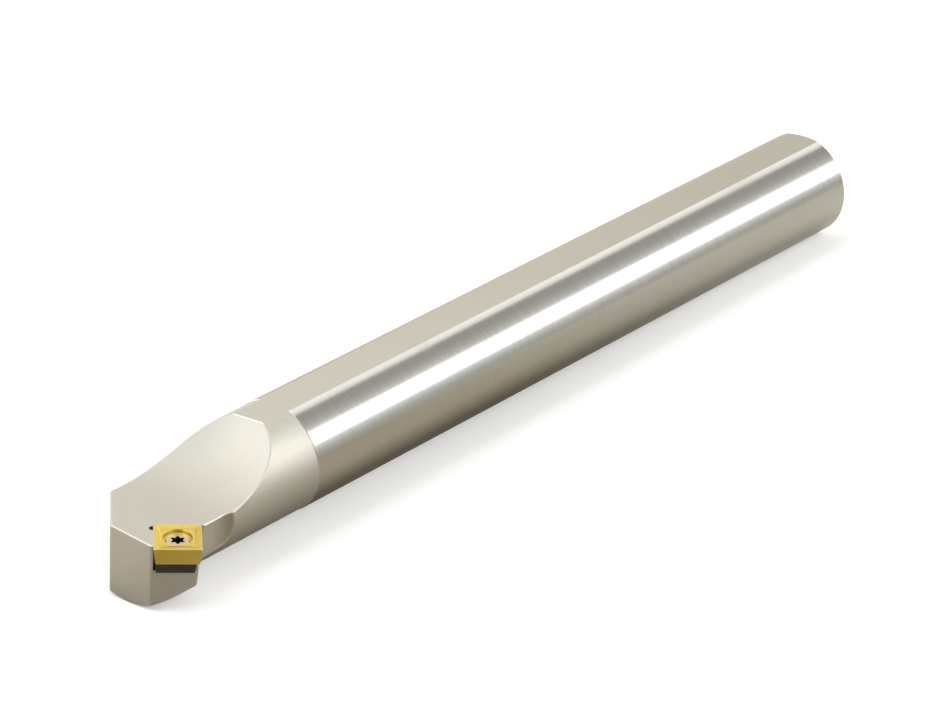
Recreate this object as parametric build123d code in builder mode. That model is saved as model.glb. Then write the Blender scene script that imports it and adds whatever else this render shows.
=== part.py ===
from build123d import *
from math import cos, isclose, radians, sin, sqrt, tan
import os

# A boring bar: a solid steel bar with a square insert, clamped on a shim by a screw, in its head.
#
# Millimetres. The origin is the centre of the shank's rear face. +X runs along the bar to the head,
# +Y points to the side that cuts, and +Z points up. The cutting corner stands at centre height.
# The head is milled in a frame turned about the bar's axis, so its top drops towards the cutting side.

os.makedirs("parts", exist_ok=True)

# Bar
overall_length = 300.0  # rear face to the insert's leading corner
shank_diameter = 32.0
flat_depth = 1.0  # milled off the top and off the bottom
neck_length = 60.0  # end of the ground shank to the insert's leading corner
neck_relief = 0.2  # the neck lies this far below the ground surface
rear_chamfer = 1.3
shank_chamfer = 0.2
flat_cutter_radius = 40.0  # run-out of the bottom flat

# Head
corner_overhang = 6.0  # the cutting corner stands out this far from the shank's side
rake_tilt = 5.0
head_growth = 6.6  # the head's round underside over the neck, on the radius
head_shift_y = 1.8  # that underside is turned off the bar's axis
head_shift_z = 3.5
head_far_depth = 0.35  # the underside's far side is milled this deep into the neck
head_length = 12.65
shoulder_length = 3.0
front_setback = 0.85  # insert's leading corner back to the front face
top_setback = 0.15  # insert's top down to the head's top face
far_corner_leg = 12.3
far_corner_radius = 1.5
flank_setback = 2.0  # insert's main edge back to the face below it
flank_corner_radius = 1.2
scoop_radius = 45.7
scoop_sweep = 60.0
return_setback = 0.3  # insert's return edge back to the face below it
return_lean = 5.0
recess_margin = 0.5  # insert's rear corner out to the side recess
recess_lean = 4.8
recess_length = 10.3  # insert's rear corner back to the recess's end
recess_cutter_radius = 4.0
edge_break = 0.25

# Insert
insert_side = 12.7
insert_thickness = 4.76
insert_clearance = 7.0
insert_nose_radius = 0.4
insert_foot_radius = 0.2  # the same corners at the bottom
insert_hone = 0.1  # broken cutting edge
insert_hole_gap = 0.5  # round the screw
mouth_ledge = 0.7  # shelf from the screw's head out to the steep wall above it
mouth_wall = 0.95
mouth_draft = 0.25
breaker_land = 0.35
breaker_width = 1.3
breaker_depth = 0.25
island_setback = 1.35  # insert's sides in to the island's corners
island_ledge = 0.35  # mouth out to the middle of the island's hollow sides
island_foot = 0.3  # the island's sides spread this far down to the groove's floor

# Pocket
inner_relief_radius = 1.1  # a hole in the far wall clears the insert's far corner
inner_relief_offset = 1.7
wall_relief_start = 2.2  # the open end of the far wall is cut upright from here
wall_relief_width = 2.35

# Shim
shim_thickness = 2.8
shim_gap = 0.05  # to the pocket's walls
shim_corner_radius = 0.3
shim_return_setback = 0.85  # it stands back further below the insert's return edge
shim_return_lean = 10.0
shim_hole_gap = 0.1
shim_edge_break = 0.25

# Insert screw, with a conical head and a six-lobed socket
screw_diameter = 4.5
screw_length = 12.0
screw_head_growth = 0.8  # head over the thread, on the radius
screw_head_sink = 0.9  # insert's top down to the head's top
screw_head_rim = 0.3
screw_seat_angle = 30.0  # from the screw's axis
socket_over_lobes = 3.9
socket_across_valleys = 2.75
socket_valley_radius = 0.6
socket_depth = 2.0
screw_tip_chamfer = 0.5
thread_gap = 0.05  # plain cylinders stand in for the threads, this far apart

# Shim screw: a threaded sleeve that holds the shim and takes the insert screw
sleeve_wall = 0.95
sleeve_head_growth = 0.85  # head over the thread, on the radius
sleeve_head_sink = 0.3  # shim's top down to the head's top
sleeve_head_rim = 0.3
sleeve_seat_angle = 45.0
sleeve_reach = 6.0  # into the bar, below the pocket's floor
sleeve_hole_spare = 0.5
sleeve_key_bite = 0.2  # the key's hexagon stands this far outside the bore
sleeve_key_depth = 2.0
sleeve_tip_chamfer = 0.3
drill_half_angle = 59.0

# Worked out from the sizes above
shank_radius = shank_diameter / 2
neck_radius = shank_radius - neck_relief
head_radius = neck_radius + head_growth
flat_height = shank_radius - flat_depth
beyond = 2 * shank_diameter  # clear of everything that is cut
front_x = overall_length - front_setback
head_start = front_x - head_length
shoulder_start = head_start - shoulder_length
neck_start = overall_length - neck_length

half_side = insert_side / 2
half_diagonal = insert_side / sqrt(2)
nose_reach = half_diagonal - insert_nose_radius * (sqrt(2) - 1)
bottom_half = half_side - insert_thickness * tan(radians(insert_clearance))
seat_depth = insert_thickness + shim_thickness

screw_radius = screw_diameter / 2
screw_head_radius = screw_radius + screw_head_growth
screw_cone_top = screw_head_sink + screw_head_rim
mouth_radius = screw_head_radius + mouth_ledge + mouth_draft
sleeve_bore_radius = screw_radius + thread_gap
sleeve_radius = sleeve_bore_radius + sleeve_wall
sleeve_head_radius = sleeve_radius + sleeve_head_growth
sleeve_top = insert_thickness + sleeve_head_sink
sleeve_cone_top = sleeve_top + sleeve_head_rim
sleeve_bottom = seat_depth + sleeve_reach

# Places in the milled frame: along the bar, across it, and up square to the insert's top.
functional_width = shank_radius + corner_overhang
rake_level = functional_width * sin(radians(rake_tilt))
top_level = rake_level - top_setback
insert_x = overall_length - nose_reach
insert_y = functional_width * cos(radians(rake_tilt)) - nose_reach

up = (0, sin(radians(rake_tilt)), cos(radians(rake_tilt)))
across = (0, cos(radians(rake_tilt)), -sin(radians(rake_tilt)))
milled = Plane(origin=(0, 0, 0), x_dir=(1, 0, 0), z_dir=up)
side_view = Plane(origin=(0, 0, 0), x_dir=(1, 0, 0), z_dir=-Vector(across))

# The insert's own frame has its origin at the middle of the insert's top. Its X leaves the main cutting
# edge squarely, and its Y leaves the return edge.
insert_top = Plane(milled.location * Location((insert_x, insert_y, rake_level), (0, 0, 45)))
insert_bottom = insert_top.offset(-insert_thickness)
pocket_floor = insert_top.offset(-seat_depth)
insert_section = Plane(origin=insert_top.origin, x_dir=insert_top.x_dir, z_dir=-insert_top.y_dir)
insert_axis = Axis(insert_top.origin, insert_top.z_dir)


def cone_depth(radius_change, half_angle):
    """How far along its axis a cone changes its radius by this much."""
    return radius_change / tan(radians(half_angle))


def leaning_face(level, distance, lean):
    """A plane across the insert's Y at a distance, which slopes back under by an angle. It faces outwards."""
    return Plane(level.location * Location((0, distance, 0), (-90 - lean, 0, 0)))


# Side recess of the bar, behind the insert's return edge. It ends in the cutter's radius, and the
# return face bounds it in front.
rear_corner_x = insert_x - half_diagonal
recess_end = rear_corner_x - recess_length
wall_rise = tan(radians(recess_lean))
wall_at_front = insert_y + recess_margin - (front_x - rear_corner_x) * wall_rise
wall_at_end = insert_y + recess_margin + recess_length * wall_rise

with BuildPart() as side_recess:
    with BuildSketch(milled):
        with BuildLine():
            FilletPolyline(
                (front_x, wall_at_front),
                (recess_end, wall_at_end),
                (recess_end, beyond),
                radius=recess_cutter_radius,
            )
            Polyline((recess_end, beyond), (front_x, beyond), (front_x, wall_at_front))
        make_face()
    extrude(amount=beyond, both=True)
    split(bisect_by=leaning_face(insert_top, half_side - return_setback, return_lean), keep=Keep.TOP)


with BuildPart() as bar_body:
    # The head's round underside has an axis of its own and a short shoulder. Its far side is milled flat.
    head_axis = Axis((0, head_shift_y, head_shift_z), (1, 0, 0))
    with BuildSketch(Plane.XZ.offset(-head_shift_y)):
        with BuildLine():
            Polyline(
                (shoulder_start, head_shift_z),
                (shoulder_start, head_shift_z + head_radius - shoulder_length),
                (head_start, head_shift_z + head_radius),
                (front_x, head_shift_z + head_radius),
                (front_x, head_shift_z),
                close=True,
            )
        make_face()
    revolve(axis=head_axis)
    split(bisect_by=Plane.XZ.offset(neck_radius - head_far_depth), keep=Keep.BOTTOM)

    # The shank and neck are turned on the bar's axis.
    with BuildSketch(Plane.XZ):
        with BuildLine():
            Polyline(
                (0, 0),
                (0, shank_radius - rear_chamfer),
                (rear_chamfer, shank_radius),
                (neck_start - shank_chamfer, shank_radius),
                (neck_start, neck_radius),
                (front_x, neck_radius),
                (front_x, 0),
                close=True,
            )
        make_face()
    revolve(axis=Axis.X)

    # Clamping flats. The bottom one ends at the shoulder in the radius of its cutter.
    with BuildSketch(Plane.XY.offset(flat_height)):
        Rectangle(2 * overall_length, beyond)
    extrude(amount=beyond, mode=Mode.SUBTRACT)
    with BuildSketch(Plane.XZ):
        with BuildLine():
            flat_end = shoulder_start - sqrt(2 * flat_cutter_radius * (neck_radius - flat_height))
            run_out = CenterArc((flat_end, -flat_height - flat_cutter_radius), flat_cutter_radius, 90, -45)
            Polyline(
                (flat_end, -flat_height),
                (-beyond, -flat_height),
                (-beyond, -beyond),
                ((run_out @ 1).X, -beyond),
                run_out @ 1,
            )
        make_face()
    extrude(amount=beyond, both=True, mode=Mode.SUBTRACT)

    # The head's outline from above: the far corner is cut away, and the flank follows the main edge.
    far_corner_y = far_corner_leg - neck_radius
    flank_sum = insert_x + insert_y + sqrt(2) * (half_side - flank_setback)
    with BuildSketch(milled):
        with BuildLine():
            Polyline(
                (-beyond, -beyond),
                (front_x - far_corner_y - beyond, -beyond),
                (front_x, far_corner_y),
                (front_x, flank_sum - front_x),
                (flank_sum - beyond, beyond),
                (-beyond, beyond),
                close=True,
            )
        make_face()
        front_corners = vertices().group_by(Axis.X)[-1].sort_by(Axis.Y)
        fillet(front_corners[0], far_corner_radius)
        fillet(vertices().group_by(Axis.X)[-1].sort_by(Axis.Y)[-1], flank_corner_radius)
    extrude(amount=beyond, both=True, mode=Mode.INTERSECT)

    # The top face is milled level with the insert, and a scoop rises from it to the top flat.
    scoop_foot = rear_corner_x
    with BuildSketch(side_view):
        with BuildLine():
            rise = CenterArc((scoop_foot, top_level + scoop_radius), scoop_radius, -90, -scoop_sweep)
            Polyline(
                (scoop_foot, top_level),
                (front_x + beyond, top_level),
                (front_x + beyond, beyond),
                ((rise @ 1).X, beyond),
                rise @ 1,
            )
        make_face()
    extrude(amount=beyond, both=True, mode=Mode.SUBTRACT)
    add(side_recess.part, mode=Mode.SUBTRACT)

    # The scoop's edges and the top face's front edges are broken.
    top_face = bar_body.faces().filter_by(milled).sort_by(Axis.X)[-1]
    scoop_face = bar_body.faces().filter_by(lambda face: isclose(face.radius or 0, scoop_radius))[0]
    front_edges = top_face.edges().filter_by_position(Axis.X, insert_x, overall_length)
    scoop_edges = scoop_face.edges().filter_by_position(Axis.X, 0, scoop_foot - edge_break)
    chamfer(front_edges + scoop_edges, edge_break)

    # Pocket: the walls of its upper part carry the insert's flanks, and its floor carries the shim.
    with BuildSketch(pocket_floor):
        with Locations((-bottom_half, -bottom_half)):
            Rectangle(2 * insert_side, 2 * insert_side, align=(Align.MIN, Align.MIN))
        with Locations((inner_relief_offset - half_side, -half_side)):
            Circle(inner_relief_radius)
        with Locations((wall_relief_start, -half_side)):
            Rectangle(insert_side, wall_relief_width, align=(Align.MIN, Align.MIN))
    extrude(amount=seat_depth, mode=Mode.SUBTRACT)
    with BuildSketch(insert_bottom):
        with Locations((-bottom_half, -bottom_half)):
            Rectangle(2 * insert_side, 2 * insert_side, align=(Align.MIN, Align.MIN))
    extrude(amount=insert_thickness, taper=-insert_clearance, mode=Mode.SUBTRACT)

    # Blind tapped hole for the shim screw
    tapped_radius = sleeve_radius + thread_gap
    tapped_bottom = sleeve_bottom + sleeve_hole_spare
    with BuildSketch(insert_section):
        with BuildLine():
            Polyline(
                (0, -seat_depth),
                (tapped_radius, -seat_depth),
                (tapped_radius, -tapped_bottom),
                (0, -tapped_bottom - cone_depth(tapped_radius, drill_half_angle)),
                close=True,
            )
        make_face()
    revolve(axis=insert_axis, mode=Mode.SUBTRACT)

bar_body.part.label = "bar_body"
export_step(bar_body.part, "parts/bar_body.step")


with BuildPart() as shim:
    shim_half = bottom_half - shim_gap
    with BuildSketch(pocket_floor):
        RectangleRounded(2 * shim_half, 2 * shim_half, shim_corner_radius)
    extrude(amount=shim_thickness)
    split(
        bisect_by=leaning_face(insert_bottom, bottom_half - shim_return_setback, shim_return_lean),
        keep=Keep.BOTTOM,
    )
    chamfer(shim.faces().sort_by(insert_axis)[0].edges(), shim_edge_break)

    # Stepped hole, whose cone seats the shim screw's head
    shim_hole_radius = sleeve_radius + shim_hole_gap
    shim_mouth_radius = sleeve_head_radius + shim_hole_gap
    shim_cone_bottom = sleeve_cone_top + cone_depth(sleeve_head_radius - shim_hole_radius, sleeve_seat_angle)
    with BuildSketch(insert_section):
        with BuildLine():
            Polyline(
                (0, -insert_thickness),
                (shim_mouth_radius, -insert_thickness),
                (shim_mouth_radius, -sleeve_cone_top + cone_depth(shim_hole_gap, sleeve_seat_angle)),
                (shim_hole_radius, -shim_cone_bottom),
                (shim_hole_radius, -seat_depth),
                (0, -seat_depth),
                close=True,
            )
        make_face()
    revolve(axis=insert_axis, mode=Mode.SUBTRACT)

shim.part.label = "shim"
export_step(shim.part, "parts/shim.step")


with BuildPart() as shim_screw:
    sleeve_cone_bottom = sleeve_cone_top + cone_depth(sleeve_head_growth, sleeve_seat_angle)
    with BuildSketch(insert_section):
        with BuildLine():
            Polyline(
                (sleeve_bore_radius, -sleeve_top),
                (sleeve_head_radius, -sleeve_top),
                (sleeve_head_radius, -sleeve_cone_top),
                (sleeve_radius, -sleeve_cone_bottom),
                (sleeve_radius, -sleeve_bottom + sleeve_tip_chamfer),
                (sleeve_radius - sleeve_tip_chamfer, -sleeve_bottom),
                (sleeve_bore_radius, -sleeve_bottom),
                close=True,
            )
        make_face()
    revolve(axis=insert_axis)
    with BuildSketch(insert_top.offset(-sleeve_top)):
        RegularPolygon(sleeve_bore_radius + sleeve_key_bite, 6, major_radius=False)
    extrude(amount=-sleeve_key_depth, mode=Mode.SUBTRACT)

shim_screw.part.label = "shim_screw"
export_step(shim_screw.part, "parts/shim_screw.step")


# Chip breaker: a groove that slopes down from the edge land, round an island with hollow sides.
with BuildPart() as chip_breaker:
    groove_half = half_side - breaker_land
    with BuildSketch(insert_top):
        Rectangle(2 * groove_half, 2 * groove_half)
    with BuildSketch(insert_top.offset(-breaker_depth)):
        Rectangle(2 * (groove_half - breaker_width), 2 * (groove_half - breaker_width))
    loft(ruled=True)
    for level, spread in ((0, 0), (-breaker_depth, island_foot)):
        corner = half_side - island_setback + spread
        waist = mouth_radius + island_ledge + spread
        with BuildSketch(insert_top.offset(level)):
            with BuildLine():
                ThreePointArc((corner, -corner), (waist, 0), (corner, corner))
                ThreePointArc((corner, corner), (0, waist), (-corner, corner))
                ThreePointArc((-corner, corner), (-waist, 0), (-corner, -corner))
                ThreePointArc((-corner, -corner), (0, -waist), (corner, -corner))
            make_face()
    loft(ruled=True, mode=Mode.SUBTRACT)


with BuildPart() as insert:
    with BuildSketch(insert_bottom):
        RectangleRounded(2 * bottom_half, 2 * bottom_half, insert_foot_radius)
    with BuildSketch(insert_top):
        RectangleRounded(insert_side, insert_side, insert_nose_radius)
    loft(ruled=True)
    chamfer(insert.faces().sort_by(insert_axis)[-1].edges(), insert_hone)
    add(chip_breaker.part, mode=Mode.SUBTRACT)

    # Hole, whose cone seats the insert screw's head
    insert_hole_radius = screw_radius + insert_hole_gap
    seat_bottom = screw_cone_top + cone_depth(screw_head_radius - insert_hole_radius, screw_seat_angle)
    with BuildSketch(insert_section):
        with BuildLine():
            Polyline(
                (0, 0),
                (mouth_radius, 0),
                (mouth_radius - mouth_draft, -mouth_wall),
                (screw_head_radius, -screw_cone_top),
                (insert_hole_radius, -seat_bottom),
                (insert_hole_radius, -insert_thickness),
                (0, -insert_thickness),
                close=True,
            )
        make_face()
    revolve(axis=insert_axis, mode=Mode.SUBTRACT)

insert.part.label = "insert"
export_step(insert.part, "parts/insert.step")


with BuildPart() as insert_screw:
    screw_tip = screw_head_sink + screw_length
    screw_cone_bottom = screw_cone_top + cone_depth(screw_head_radius - screw_radius, screw_seat_angle)
    with BuildSketch(insert_section):
        with BuildLine():
            Polyline(
                (0, -screw_head_sink),
                (screw_head_radius, -screw_head_sink),
                (screw_head_radius, -screw_cone_top),
                (screw_radius, -screw_cone_bottom),
                (screw_radius, -screw_tip + screw_tip_chamfer),
                (screw_radius - screw_tip_chamfer, -screw_tip),
                (0, -screw_tip),
                close=True,
            )
        make_face()
    revolve(axis=insert_axis)
    with BuildSketch(insert_top.offset(-screw_head_sink)):
        Circle(socket_over_lobes / 2)
        with PolarLocations(socket_across_valleys / 2 + socket_valley_radius, 6, start_angle=30):
            Circle(socket_valley_radius, mode=Mode.SUBTRACT)
    extrude(amount=-socket_depth, mode=Mode.SUBTRACT)

insert_screw.part.label = "insert_screw"
export_step(insert_screw.part, "parts/insert_screw.step")
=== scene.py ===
import math

import bpy
from mathutils import Matrix, Vector


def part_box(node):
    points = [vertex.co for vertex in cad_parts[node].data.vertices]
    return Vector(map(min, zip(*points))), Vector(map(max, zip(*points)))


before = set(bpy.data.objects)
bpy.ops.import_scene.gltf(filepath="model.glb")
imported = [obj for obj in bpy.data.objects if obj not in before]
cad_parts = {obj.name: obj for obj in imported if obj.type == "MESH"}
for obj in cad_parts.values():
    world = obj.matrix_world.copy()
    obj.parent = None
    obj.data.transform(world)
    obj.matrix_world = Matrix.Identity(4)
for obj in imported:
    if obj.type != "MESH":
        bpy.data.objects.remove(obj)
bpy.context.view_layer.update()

MM = 0.001

# Places that the finishes follow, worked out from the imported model
bar_low, bar_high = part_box("bar_body")
insert_low, insert_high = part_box("insert")
BAR_LENGTH = insert_high.x
NECK_START = BAR_LENGTH - 60 * MM
NECK_RADIUS = -bar_low.y - 0.2 * MM
RECESS_END = insert_low.x - 10.3 * MM  # rear end of the recess in the bar's cutting side

# Camera
VIEW_AZIMUTH = 40.81
VIEW_ELEVATION = 25.5
VIEW_ROLL = -0.948
VIEW_DISTANCE = 1151.918 * MM
VIEW_TARGET = Vector((159.889, 2.324, 0.22)) * MM
LENS = 154.78
SENSOR = 36

# Room: light levels by the angle about the bar, in degrees, from level on the near side at 0, over the top
# at 90, to level on the far side at 180
ROOM_LEVELS = (
    (-180, 0.75), (-90, 0.35), (-5, 0.38), (0, 0.42), (10, 0.7), (16, 0.95),
    (20, 2.6), (43, 2.6),  # bright near panel
    (48, 0.8), (54, 0.63), (61, 0.48), (72, 0.36), (85, 0.32), (88, 0.6),  # grey gap
    (93, 1.5), (105, 1.2), (144, 0.77), (162, 0.70),  # wide far panel
    (167, 2.0), (176, 2.0), (180, 0.8),  # low strip
)
# How much of the warm tint each of those angles has
ROOM_WARMTH = ((-180, 0), (48, 0), (58, 0.6), (84, 0.6), (90, 0), (98, 0), (115, 1), (180, 1))
WARM_TINT = (1.0, 0.955, 0.85, 1)
# Gains on the levels by how far a direction points along the bar, from the rear at -1 to the head at 1
FAR_GAINS = ((-1, 1.0), (-0.6, 1.0), (-0.4, 0.88), (-0.1, 1.0), (0.25, 2.75), (0.5, 2.6), (0.8, 1.0))
NEAR_GAINS = ((-1, 1.0), (-0.6, 1.0), (-0.48, 2.0), (-0.15, 2.1), (0, 0.7), (0.6, 0.2))
SIDE_FADE = (-0.15, 0.25)  # the same across the bar: the far gains give way to the near ones between these
WARM_FADE = (0.1, -0.4)  # and along the bar: the tint rises between these
ROOM_SHOWN = 0.15  # how much of the white background metal shows

# Floor: the colour that is seen, and those that the steel reflects. The reflected ones are painted shade:
# darker than the seen colour and darkest near the bar's head and in front of it, in place of the floor's
# shadow beside the bar
FLOOR_SIZE = 6.0
FLOOR_PALE = (0.72, 0.72, 0.71, 1)
FLOOR_LIFT = 0.34  # glow that brings the seen colour up to white
FLOOR_FAR = (0.53, 0.475, 0.37, 1)
FLOOR_REAR = (0.47, 0.45, 0.41, 1)
FLOOR_HEAD = (0.30, 0.27, 0.215, 1)
FLOOR_FRONT = (0.275, 0.24, 0.18, 1)
# Places between which one of them gives way to the next, along the bar and across it
REAR_TO_HEAD = (-30 * MM, 170 * MM)
HEAD_TO_FRONT = (270 * MM, 330 * MM)
FAR_TO_NEAR = (-15 * MM, 0.0)
# Painted shade and painted light on the near side: gains on the reflected colours by distance from the
# bar's axis, as a share of FLOOR_REACH
FLOOR_REACH = 200 * MM
FLOOR_REAR_SHADING_GAINS = ((0, 1.35), (0.1, 1.3), (0.2, 1.15), (0.3, 1.1), (0.5, 1.05), (1, 0.85))
FLOOR_HEAD_SHADING_GAINS = ((0, 0.72), (0.06, 0.78), (0.09, 1.1), (0.16, 1.35), (0.5, 1.2), (1, 1.0))

# Steel: colours of the blasted part, of the polished part and of both, among them painted shade and a
# painted highlight
BLASTED_DARK = (0.58, 0.562, 0.504, 1)
BLASTED_LIGHT = (0.64, 0.622, 0.564, 1)
BLASTED_SMUDGED = (0.56, 0.54, 0.48, 1)
BLASTED_REAR_SHADE = (0.45, 0.43, 0.365, 1)
BLASTED_RECESS_SHADE = (0.44, 0.405, 0.32, 1)
BLASTED_SCOOP_SHADE = (0.49, 0.475, 0.43, 1)
POLISHED_DARK = (0.61, 0.61, 0.568, 1)
POLISHED_LIGHT = (0.67, 0.665, 0.617, 1)
POLISHED_SMUDGED = (0.60, 0.585, 0.525, 1)
STEEL_WORN = (0.90, 0.88, 0.83, 1)
STEEL_RIM_HIGHLIGHT = (0.97, 0.95, 0.90, 1)
STEEL_CREVICE_SHADE = (0.05, 0.045, 0.035, 1)
# Steel: where those parts are
REAR_FACE = 0.05 * MM  # what lies nearer the rear end than this is its face
RING_EDGE = 0.1 * MM  # the polished surface stops this far before the ring
RING_WIDTH = 1 * MM
FLAT_FACING = 0.985  # a surface that points up or down at least this much is a flat
RIM_DEPTH = 0.13 * MM  # height of the painted highlight along the broken edge between the top flat and the scoop
RIM_FACING = 0.15  # that edge points towards the head at least this much
RECESS_SINK = (0.05 * MM, 0.6 * MM)  # depths below the neck's surface between which the recess starts
RECESS_UPRIGHT = 0.4  # the recess's end wall points up or down less than this
RECESS_BACK = 6 * MM  # its painted shade starts this far behind RECESS_END
RECESS_FADE = (8 * MM, 2 * MM)  # and fades between these, ahead of RECESS_END
SCOOP_CLIMB = (0.25, 0.6)  # how much the scoop's wall points towards the head where its painted shade rises
SCOOP_ACROSS = (3 * MM, -12 * MM)  # places across the bar between which that painted shade rises
REAR_SHADE_FADE = (260 * MM, 0.0)  # places along the bar between which painted shade darkens the flats, as the light falls off towards the rear
NECK_ALONG = 0.03  # the round neck points along the bar less than this
NECK_TOP = (0.97, 0.93)  # how much it points up where its coarse blasting rises
# Steel: relief, as a depth and as shares of it
BLAST_DEPTH = 0.06 * MM
FINE_BLAST = 0.25
ARCS_DEPTH = 0.25
LINES_DEPTH = 0.005
MILLING_CENTRE = (262 * MM, 0.0, 30 * MM)  # the wide cutter swept the head about this point

# Gold coating
GOLD_DARK = (0.76, 0.565, 0.108, 1)
GOLD_LIGHT = (0.91, 0.70, 0.17, 1)
GOLD_SMUDGED = (0.62, 0.40, 0.08, 1)
GOLD_WORN = (0.93, 0.80, 0.45, 1)
GOLD_CREVICE_SHADE = (0.22, 0.14, 0.02, 1)


# ---- Shader helpers ---------------------------------------------------------------------------
def add(tree, kind, sockets=None, **settings):
    """Adds a node. Each entry of sockets is a plain value or an output that is linked in."""
    made = tree.nodes.new(kind)
    for name, value in settings.items():
        setattr(made, name, value)
    for name, value in (sockets or {}).items():
        if isinstance(value, bpy.types.NodeSocket):
            tree.links.new(value, made.inputs[name])
        else:
            made.inputs[name].default_value = value
    return made


def calc(tree, operation, first, second=0.0, third=0.0):
    return add(tree, "ShaderNodeMath", {0: first, 1: second, 2: third}, operation=operation).outputs[0]


def ramp(tree, value, low, high, bottom=0.0, top=1.0):
    """Rises smoothly from bottom to top as value goes from low to high."""
    sockets = {"Value": value, "From Min": low, "From Max": high, "To Min": bottom, "To Max": top}
    return add(tree, "ShaderNodeMapRange", sockets, interpolation_type="SMOOTHSTEP").outputs["Result"]


def blend(tree, factor, first, second):
    return add(tree, "ShaderNodeMix", {0: factor, 2: first, 3: second}).outputs[0]


def blend_colors(tree, factor, first, second):
    made = add(tree, "ShaderNodeMix", {"Factor": factor, 6: first, 7: second}, data_type="RGBA")
    return made.outputs[2]


def scale_color(tree, color, factor):
    made = add(tree, "ShaderNodeVectorMath", {0: color, "Scale": factor}, operation="SCALE")
    return made.outputs[0]


def overlap(tree, *masks):
    """The place that all of these masks share."""
    shared = masks[0]
    for mask in masks[1:]:
        shared = calc(tree, "MULTIPLY", shared, mask)
    return shared


def tone(tree, color, other, mask, share):
    """Brings a colour nearer to another one, by that share where the mask is 1."""
    return blend_colors(tree, calc(tree, "MULTIPLY", mask, share), color, other)


def split(tree, vector):
    return add(tree, "ShaderNodeSeparateXYZ", {0: vector}).outputs


def profile(tree, value, points):
    """A curve through points (place, level), for values from -1 to 1."""
    made = add(tree, "ShaderNodeValToRGB", {0: calc(tree, "MULTIPLY_ADD", value, 0.5, 0.5)})
    keys = made.color_ramp.elements
    for index, (place, level) in enumerate(points):
        key = keys[index] if index < 2 else keys.new(0.5 + place / 2)
        key.position = 0.5 + place / 2
        key.color = (level, level, level, 1)
    return made.outputs[0]


def start_group(name, inputs, outputs):
    """Starts a node group with named sockets, and returns it with its inputs and its outputs."""
    tree = bpy.data.node_groups.new(name, "ShaderNodeTree")
    for socket, value in inputs.items():
        kind = "NodeSocketFloat" if isinstance(value, float) else "NodeSocketVector"
        tree.interface.new_socket(socket, in_out="INPUT", socket_type=kind).default_value = value
    for socket, kind in outputs.items():
        tree.interface.new_socket(socket, in_out="OUTPUT", socket_type=kind)
    return tree, tree.nodes.new("NodeGroupInput").outputs, tree.nodes.new("NodeGroupOutput").inputs


def use_group(tree, name, sockets):
    """Places a shared effect and returns its outputs."""
    made = tree.nodes.new("ShaderNodeGroup")
    made.node_tree = groups[name]
    for socket, value in sockets.items():
        if isinstance(value, bpy.types.NodeSocket):
            tree.links.new(value, made.inputs[socket])
        else:
            made.inputs[socket].default_value = value
    return made.outputs


# ---- Shared effects ---------------------------------------------------------------------------
def make_grain():
    """Even speckle of a blasted, ground or coated surface, from 0 to 1."""
    tree, given, made = start_group(
        "grain", {"Place": (0, 0, 0), "Size": 0.0003, "Contrast": 1.0}, {"Grain": "NodeSocketFloat"}
    )
    scale = calc(tree, "DIVIDE", 1.0, given["Size"])
    noise = add(tree, "ShaderNodeTexNoise", {"Vector": given["Place"], "Scale": scale, "Detail": 3.0})
    centred = calc(tree, "MULTIPLY", calc(tree, "SUBTRACT", noise.outputs[0], 0.5), given["Contrast"])
    grain = add(tree, "ShaderNodeMath", {0: centred, 1: 0.5}, use_clamp=True)
    tree.links.new(grain.outputs[0], made["Grain"])
    return tree


def make_turning_lines():
    """Fine rings about the X axis, as a grinding wheel or a lathe tool leaves them, from 0 to 1."""
    tree, given, made = start_group(
        "turning_lines", {"Place": (0, 0, 0), "Pitch": 0.0003, "Waver": 0.02}, {"Lines": "NodeSocketFloat"}
    )
    stretch = add(tree, "ShaderNodeCombineXYZ", {0: 1.0, 1: given["Waver"], 2: given["Waver"]}).outputs[0]
    rings = add(tree, "ShaderNodeVectorMath", {0: given["Place"], 1: stretch}, operation="MULTIPLY")
    scale = calc(tree, "DIVIDE", 1.0, given["Pitch"])
    sockets = {"Vector": rings.outputs[0], "Scale": scale, "Detail": 4.0, "Roughness": 0.7}
    noise = add(tree, "ShaderNodeTexNoise", sockets).outputs[0]
    tree.links.new(ramp(tree, noise, 0.3, 0.7), made["Lines"])
    return tree


def make_milling_arcs():
    """Arcs that a wide cutter sweeps over a milled face, from 0 to 1."""
    tree, given, made = start_group(
        "milling_arcs",
        {"Place": (0, 0, 0), "Centre": (0, 0, 0), "Pitch": 0.0006},
        {"Arcs": "NodeSocketFloat"},
    )
    away = add(tree, "ShaderNodeVectorMath", {0: given["Place"], 1: given["Centre"]}, operation="DISTANCE")
    noise = add(tree, "ShaderNodeTexNoise", {"Vector": given["Place"], "Scale": 400.0, "Detail": 2.0})
    drift = noise.outputs[0]
    turns = calc(tree, "DIVIDE", away.outputs["Value"], given["Pitch"])
    phase = calc(tree, "MULTIPLY", calc(tree, "MULTIPLY_ADD", drift, 0.8, turns), 2 * math.pi)
    wave = calc(tree, "MULTIPLY_ADD", calc(tree, "SINE", phase), 0.5, 0.5)
    tree.links.new(calc(tree, "MULTIPLY", wave, ramp(tree, drift, 0.35, 0.65, 0.3, 1.0)), made["Arcs"])
    return tree


def make_smudges():
    """Wide soft patches where hands and oil have been, from 0 to 1."""
    tree, given, made = start_group(
        "smudges", {"Place": (0, 0, 0), "Size": 0.012, "Cover": 0.5}, {"Smudge": "NodeSocketFloat"}
    )
    scale = calc(tree, "DIVIDE", 1.0, given["Size"])
    sockets = {"Vector": given["Place"], "Scale": scale, "Detail": 5.0, "Roughness": 0.6, "Distortion": 0.6}
    noise = add(tree, "ShaderNodeTexNoise", sockets).outputs[0]
    start = calc(tree, "MULTIPLY_ADD", given["Cover"], -0.4, 0.7)
    tree.links.new(ramp(tree, noise, start, calc(tree, "ADD", start, 0.25)), made["Smudge"])
    return tree


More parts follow.
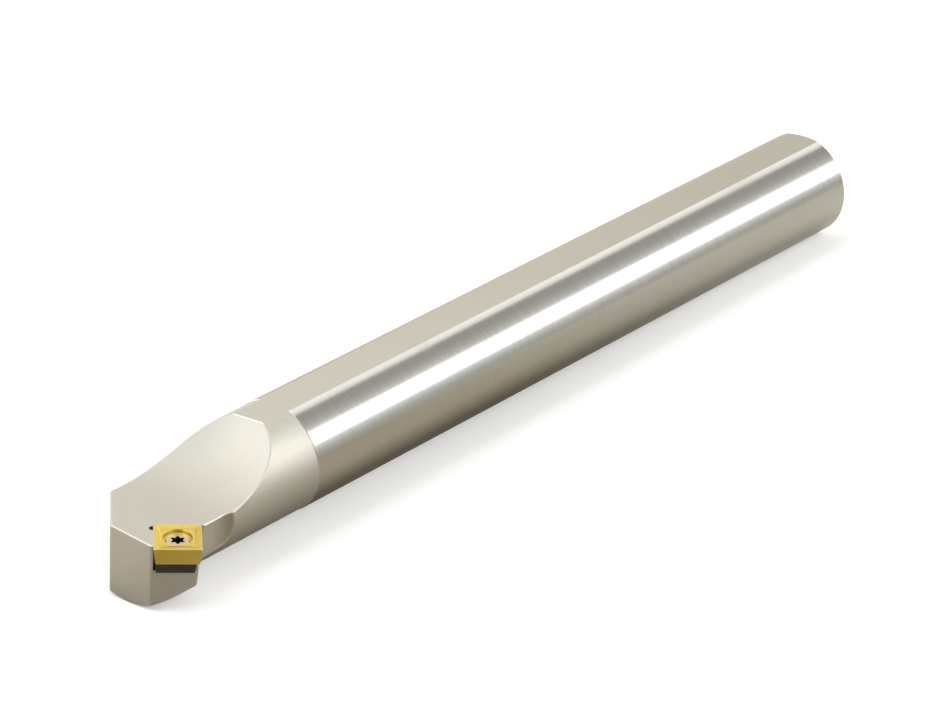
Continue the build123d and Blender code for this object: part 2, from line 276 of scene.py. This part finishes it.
def make_edge_wear():
    """Where an edge is worn bright, from 0 to 1, and the normal that rounds the edge by Radius."""
    tree, given, made = start_group(
        "edge_wear",
        {"Place": (0, 0, 0), "Radius": 0.0002, "Reach": 0.0004, "Break Up": 0.5},
        {"Worn": "NodeSocketFloat", "Rounded": "NodeSocketVector"},
    )
    rounded = add(tree, "ShaderNodeBevel", {"Radius": given["Radius"]}, samples=4).outputs[0]
    solid = add(tree, "ShaderNodeAmbientOcclusion", {"Distance": given["Reach"]}, samples=6, inside=True)
    edge = ramp(tree, solid.outputs["AO"], 0.95, 0.72)
    noise = add(tree, "ShaderNodeTexNoise", {"Vector": given["Place"], "Scale": 1500.0, "Detail": 4.0})
    chips = ramp(tree, noise.outputs[0], 0.4, 0.6)
    kept = calc(tree, "SUBTRACT", 1.0, calc(tree, "MULTIPLY", given["Break Up"], chips))
    tree.links.new(calc(tree, "MULTIPLY", edge, kept), made["Worn"])
    tree.links.new(rounded, made["Rounded"])
    return tree


def make_crevices():
    """How enclosed a place is by walls that stand nearer than Reach, from 0 to 1; the materials paint shade
    there.
    """
    tree, given, made = start_group(
        "crevices", {"Reach": 0.001, "Open": 0.8, "Closed": 0.3}, {"Depth": "NodeSocketFloat"}
    )
    light = add(tree, "ShaderNodeAmbientOcclusion", {"Distance": given["Reach"]}, samples=6).outputs["AO"]
    tree.links.new(ramp(tree, light, given["Open"], given["Closed"]), made["Depth"])
    return tree


# ---- Camera, room and floor -------------------------------------------------------------------
def make_camera():
    azimuth, elevation, roll = (math.radians(a) for a in (VIEW_AZIMUTH, VIEW_ELEVATION, VIEW_ROLL))
    back = Vector((
        math.cos(elevation) * math.cos(azimuth),
        math.cos(elevation) * math.sin(azimuth),
        math.sin(elevation),
    ))
    level_right = Vector((0, 0, 1)).cross(back).normalized()
    level_up = back.cross(level_right)
    right = level_right * math.cos(roll) + level_up * math.sin(roll)
    upward = level_up * math.cos(roll) - level_right * math.sin(roll)
    data = bpy.data.cameras.new("camera")
    data.lens = LENS
    data.sensor_width = SENSOR
    data.clip_start = 0.05
    data.clip_end = 50
    camera = bpy.data.objects.new("camera", data)
    turn = Matrix((right, upward, back)).transposed().to_4x4()
    camera.matrix_world = Matrix.Translation(VIEW_TARGET + back * VIEW_DISTANCE) @ turn
    bpy.context.collection.objects.link(camera)
    bpy.context.scene.camera = camera


def make_room():
    """Long light panels over the near and the far side of the bar, with a grey gap between them."""
    world = bpy.data.worlds.new("room")
    bpy.context.scene.world = world
    world.use_nodes = True
    tree = world.node_tree
    tree.nodes.clear()
    direction = add(tree, "ShaderNodeTexCoord").outputs["Generated"]
    parts = split(tree, direction)
    angle = calc(tree, "MULTIPLY", calc(tree, "ARCTAN2", parts["Z"], parts["Y"]), 1 / math.pi)
    panels = profile(tree, angle, [(degrees / 180, level) for degrees, level in ROOM_LEVELS])
    near_side = ramp(tree, parts["Y"], *SIDE_FADE)
    far_gain = profile(tree, parts["X"], FAR_GAINS)
    near_gain = profile(tree, parts["X"], NEAR_GAINS)
    level = calc(tree, "MULTIPLY", panels, blend(tree, near_side, far_gain, near_gain))
    warmth = profile(tree, angle, [(degrees / 180, share) for degrees, share in ROOM_WARMTH])
    tinted = overlap(tree, warmth, ramp(tree, parts["X"], *WARM_FADE))
    studio = scale_color(tree, blend_colors(tree, tinted, (1, 1, 1, 1), WARM_TINT), level)
    rays = add(tree, "ShaderNodeLightPath").outputs
    shiny = calc(tree, "MAXIMUM", rays["Is Glossy Ray"], rays["Is Transmission Ray"])
    shown = calc(tree, "MAXIMUM", rays["Is Camera Ray"], calc(tree, "MULTIPLY", shiny, ROOM_SHOWN))
    lit = add(tree, "ShaderNodeBackground", {"Color": studio, "Strength": 1.0})
    white = add(tree, "ShaderNodeBackground", {"Color": (1, 1, 1, 1), "Strength": 1.0})
    mixed = add(tree, "ShaderNodeMixShader", {0: shown, 1: lit.outputs[0], 2: white.outputs[0]})
    add(tree, "ShaderNodeOutputWorld", {"Surface": mixed.outputs[0]})


def make_floor():
    """A pale sheet, laid as the bar rests: under the rear edge of its bottom flat and under its head."""
    corners = [v.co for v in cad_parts["bar_body"].data.vertices]
    rear_z = min(c.z for c in corners if c.x < 2 * MM)
    lean = min((c.z - rear_z) / c.x for c in corners if c.x > BAR_LENGTH / 2)
    half = FLOOR_SIZE / 2
    mesh = bpy.data.meshes.new("floor")
    edge = [(-half, -half), (half, -half), (half, half), (-half, half)]
    mesh.from_pydata([(x, y, rear_z + lean * x) for x, y in edge], [], [(0, 1, 2, 3)])
    floor = bpy.data.objects.new("floor", mesh)
    bpy.context.collection.objects.link(floor)
    material, tree = start_material("floor_paper")
    parts = split(tree, add(tree, "ShaderNodeTexCoord").outputs["Object"])
    away = calc(tree, "DIVIDE", parts["Y"], FLOOR_REACH)
    rear = scale_color(tree, FLOOR_REAR[:3], profile(tree, away, FLOOR_REAR_SHADING_GAINS))
    head = scale_color(tree, FLOOR_HEAD[:3], profile(tree, away, FLOOR_HEAD_SHADING_GAINS))
    near_side = blend_colors(tree, ramp(tree, parts["X"], *REAR_TO_HEAD), rear, head)
    near_side = blend_colors(tree, ramp(tree, parts["X"], *HEAD_TO_FRONT), near_side, FLOOR_FRONT)
    # The colours the steel reflects are painted shade; only the camera sees the pale sheet.
    reflected_shade = blend_colors(tree, ramp(tree, parts["Y"], *FAR_TO_NEAR), FLOOR_FAR, near_side)
    seen = add(tree, "ShaderNodeLightPath").outputs["Is Camera Ray"]
    color = blend_colors(tree, seen, reflected_shade, FLOOR_PALE)
    paper = add(tree, "ShaderNodeBsdfDiffuse", {"Color": color})
    lift = add(tree, "ShaderNodeEmission", {"Strength": calc(tree, "MULTIPLY", seen, FLOOR_LIFT)})
    sheet = add(tree, "ShaderNodeAddShader", {0: paper.outputs[0], 1: lift.outputs[0]})
    add(tree, "ShaderNodeOutputMaterial", {"Surface": sheet.outputs[0]})
    mesh.materials.append(material)


# ---- Materials --------------------------------------------------------------------------------
def start_material(name):
    material = bpy.data.materials.new(name)
    material.use_nodes = True
    material.node_tree.nodes.clear()
    return material, material.node_tree


def finish_metal(tree, color, roughness, bump):
    """Ends a metal's material. The bump is the sockets of its Bump node."""
    normal = add(tree, "ShaderNodeBump", bump).outputs[0]
    sockets = {"Base Color": color, "Metallic": 1.0, "Roughness": roughness, "Normal": normal}
    shader = add(tree, "ShaderNodeBsdfPrincipled", sockets)
    add(tree, "ShaderNodeOutputMaterial", {"Surface": shader.outputs[0]})


def polished_part(tree, parts, facing):
    """Mask of the round shank, without the flats and the rear face."""
    before_ring = calc(tree, "LESS_THAN", parts["X"], NECK_START - RING_EDGE)
    off_flats = calc(tree, "LESS_THAN", calc(tree, "ABSOLUTE", facing["Z"]), FLAT_FACING)
    off_rear = calc(tree, "GREATER_THAN", parts["X"], REAR_FACE)
    return overlap(tree, before_ring, off_flats, off_rear)


def scoop_rim_highlight(tree, parts, facing):
    """Mask of the broken edge between the top flat and the scoop, where a highlight is painted."""
    beside_flat = calc(tree, "GREATER_THAN", parts["Z"], bar_high.z - RIM_DEPTH)
    towards_head = calc(tree, "GREATER_THAN", facing["X"], RIM_FACING)
    past_ring = calc(tree, "GREATER_THAN", parts["X"], NECK_START + RING_WIDTH)
    return overlap(tree, beside_flat, towards_head, past_ring)


def recess_shade_mask(tree, parts, facing):
    """Mask of the upright wall at the rear end of the side recess, where shade is painted."""
    off_axis = add(tree, "ShaderNodeCombineXYZ", {1: parts["Y"], 2: parts["Z"]}).outputs[0]
    off_axis = add(tree, "ShaderNodeVectorMath", {0: off_axis}, operation="LENGTH").outputs["Value"]
    sunk = ramp(tree, off_axis, *(NECK_RADIUS - sink for sink in RECESS_SINK))
    upright = calc(tree, "LESS_THAN", calc(tree, "ABSOLUTE", facing["Z"]), RECESS_UPRIGHT)
    past_scoop = calc(tree, "GREATER_THAN", parts["X"], RECESS_END - RECESS_BACK)
    near_end = ramp(tree, parts["X"], *(RECESS_END + fade for fade in RECESS_FADE))
    return overlap(tree, upright, past_scoop, sunk, near_end)


def scoop_shade_mask(tree, parts, facing):
    """Mask of the scoop's wall on the far side, where it climbs to the top flat and shade is painted."""
    climbing = ramp(tree, facing["X"], *SCOOP_CLIMB)
    return overlap(tree, climbing, ramp(tree, parts["Y"], *SCOOP_ACROSS))


def round_neck(tree, facing):
    """Mask of the neck's own round surface, which no cutter has touched."""
    straight = calc(tree, "LESS_THAN", calc(tree, "ABSOLUTE", facing["X"]), NECK_ALONG)
    return overlap(tree, straight, ramp(tree, facing["Z"], *NECK_TOP))


def bar_steel():
    """Ground and polished on the shank, blasted and nickel-toned on the flats, the neck and the head."""
    material, tree = start_material("bar_steel")
    place = add(tree, "ShaderNodeTexCoord").outputs["Object"]
    parts = split(tree, place)
    facing = split(tree, add(tree, "ShaderNodeNewGeometry").outputs["True Normal"])
    ground = polished_part(tree, parts, facing)
    coarse = round_neck(tree, facing)

    speckle = use_group(tree, "grain", {"Place": place, "Size": 0.35 * MM, "Contrast": 2.2})["Grain"]
    lines = use_group(tree, "turning_lines", {"Place": place, "Pitch": 0.5 * MM, "Waver": 0.004})["Lines"]
    sweep = {"Place": place, "Centre": MILLING_CENTRE, "Pitch": 0.7 * MM}
    arcs = use_group(tree, "milling_arcs", sweep)["Arcs"]
    smudge = use_group(tree, "smudges", {"Place": place, "Size": 22 * MM, "Cover": 0.45})["Smudge"]
    edges = {"Place": place, "Radius": 0.1 * MM, "Reach": 0.6 * MM, "Break Up": 0.25}
    wear = use_group(tree, "edge_wear", edges)
    depth = use_group(tree, "crevices", {"Reach": 1.2 * MM, "Open": 0.75, "Closed": 0.3})["Depth"]

    blasted = blend_colors(tree, speckle, BLASTED_DARK, BLASTED_LIGHT)
    blasted = tone(tree, blasted, BLASTED_SMUDGED, smudge, 0.35)
    # Painted shade: the blasted steel darkens towards the rear end, as the light falls off there.
    blasted = tone(tree, blasted, BLASTED_REAR_SHADE, ramp(tree, parts["X"], *REAR_SHADE_FADE), 0.7)
    # Painted shade darkens the end of the recess and the scoop's far side.
    blasted = tone(tree, blasted, BLASTED_RECESS_SHADE, recess_shade_mask(tree, parts, facing), 0.9)
    blasted = tone(tree, blasted, BLASTED_SCOOP_SHADE, scoop_shade_mask(tree, parts, facing), 0.8)
    polished = blend_colors(tree, lines, POLISHED_DARK, POLISHED_LIGHT)
    polished = tone(tree, polished, POLISHED_SMUDGED, smudge, 0.4)
    color = blend_colors(tree, ground, blasted, polished)
    color = tone(tree, color, STEEL_WORN, wear["Worn"], 0.35)
    # Painted highlight along the scoop's broken edge.
    color = tone(tree, color, STEEL_RIM_HIGHLIGHT, scoop_rim_highlight(tree, parts, facing), 0.9)
    # Painted shade in the crevices and gaps between parts.
    color = tone(tree, color, STEEL_CREVICE_SHADE, depth, 0.85)

    # The round neck is blasted coarser than what the milling cutters left.
    blasted_rough = calc(tree, "MULTIPLY_ADD", speckle, 0.08, 0.54)
    blasted_rough = calc(tree, "MULTIPLY_ADD", coarse, -0.07, blasted_rough)
    polished_rough = calc(tree, "MULTIPLY_ADD", lines, 0.05, 0.11)
    polished_rough = calc(tree, "MULTIPLY_ADD", smudge, 0.05, polished_rough)
    roughness = blend(tree, ground, blasted_rough, polished_rough)
    roughness = blend(tree, calc(tree, "MULTIPLY", wear["Worn"], 0.5), roughness, 0.35)

    relief = calc(tree, "MULTIPLY_ADD", arcs, ARCS_DEPTH, speckle)
    blast_height = calc(tree, "MULTIPLY", blend(tree, coarse, FINE_BLAST, 1.0), relief)
    height = blend(tree, ground, blast_height, calc(tree, "MULTIPLY", lines, LINES_DEPTH))
    bump = {"Strength": 1.0, "Distance": BLAST_DEPTH, "Height": height, "Normal": wear["Rounded"]}
    finish_metal(tree, color, roughness, bump)
    return material


def gold_coat():
    """Hard gold-coloured coating, rubbed bright along the cutting edges."""
    material, tree = start_material("gold_coat")
    place = add(tree, "ShaderNodeTexCoord").outputs["Object"]
    speckle = use_group(tree, "grain", {"Place": place, "Size": 0.12 * MM, "Contrast": 2.5})["Grain"]
    smudge = use_group(tree, "smudges", {"Place": place, "Size": 4 * MM, "Cover": 0.5})["Smudge"]
    edges = {"Place": place, "Radius": 0.08 * MM, "Reach": 0.3 * MM, "Break Up": 0.35}
    wear = use_group(tree, "edge_wear", edges)
    depth = use_group(tree, "crevices", {"Reach": 1.5 * MM, "Open": 0.85, "Closed": 0.5})["Depth"]
    color = blend_colors(tree, speckle, GOLD_DARK, GOLD_LIGHT)
    color = tone(tree, color, GOLD_SMUDGED, smudge, 0.3)
    color = tone(tree, color, GOLD_WORN, wear["Worn"], 0.75)
    # Painted shade in the mouth around the screw and in other crevices.
    color = tone(tree, color, GOLD_CREVICE_SHADE, depth, 0.85)
    roughness = calc(tree, "MULTIPLY_ADD", speckle, 0.08, calc(tree, "MULTIPLY_ADD", smudge, 0.06, 0.26))
    bump = {"Strength": 0.1, "Distance": 0.01 * MM, "Height": speckle, "Normal": wear["Rounded"]}
    finish_metal(tree, color, roughness, bump)
    return material


def dull_metal(name, dark, light, worn, shade_color, roughness, grain_size):
    """Ground or blackened metal with speckle, worn edges and painted shade in its recesses."""
    material, tree = start_material(name)
    place = add(tree, "ShaderNodeTexCoord").outputs["Object"]
    speckle = use_group(tree, "grain", {"Place": place, "Size": grain_size, "Contrast": 2.5})["Grain"]
    edges = {"Place": place, "Radius": 0.08 * MM, "Reach": 0.25 * MM, "Break Up": 0.5}
    wear = use_group(tree, "edge_wear", edges)
    depth = use_group(tree, "crevices", {"Reach": 2.5 * MM, "Open": 0.66, "Closed": 0.45})["Depth"]
    color = blend_colors(tree, speckle, dark, light)
    color = tone(tree, color, worn, wear["Worn"], 0.6)
    # Painted shade in recesses, such as the screw's socket.
    color = blend_colors(tree, depth, color, shade_color)
    rough = calc(tree, "MULTIPLY_ADD", speckle, 0.1, roughness - 0.05)
    bump = {"Strength": 0.15, "Distance": 0.01 * MM, "Height": speckle, "Normal": wear["Rounded"]}
    finish_metal(tree, color, rough, bump)
    return material


def dress(node, material):
    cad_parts[node].data.materials[0] = material


groups = {
    "grain": make_grain(),
    "turning_lines": make_turning_lines(),
    "milling_arcs": make_milling_arcs(),
    "smudges": make_smudges(),
    "edge_wear": make_edge_wear(),
    "crevices": make_crevices(),
}
make_camera()
make_room()
make_floor()
dress("bar_body", bar_steel())
dress("insert", gold_coat())
dress("shim", dull_metal(
    "dark_carbide",
    dark=(0.066, 0.066, 0.062, 1), light=(0.105, 0.104, 0.098, 1), worn=(0.3, 0.29, 0.26, 1),
    shade_color=(0.03, 0.03, 0.025, 1), roughness=0.42, grain_size=0.15 * MM,
))
dress("shim_screw", dull_metal(
    "black_screw",
    dark=(0.035, 0.034, 0.03, 1), light=(0.06, 0.058, 0.05, 1), worn=(0.25, 0.24, 0.22, 1),
    shade_color=(0.01, 0.01, 0.01, 1), roughness=0.38, grain_size=0.2 * MM,
))
dress("insert_screw", dull_metal(
    "bright_screw",
    dark=(0.67, 0.59, 0.43, 1), light=(0.77, 0.68, 0.51, 1), worn=(0.9, 0.84, 0.70, 1),
    shade_color=(0.02, 0.018, 0.01, 1), roughness=0.3, grain_size=0.15 * MM,
))

scene = bpy.context.scene
scene.view_settings.view_transform = "Standard"
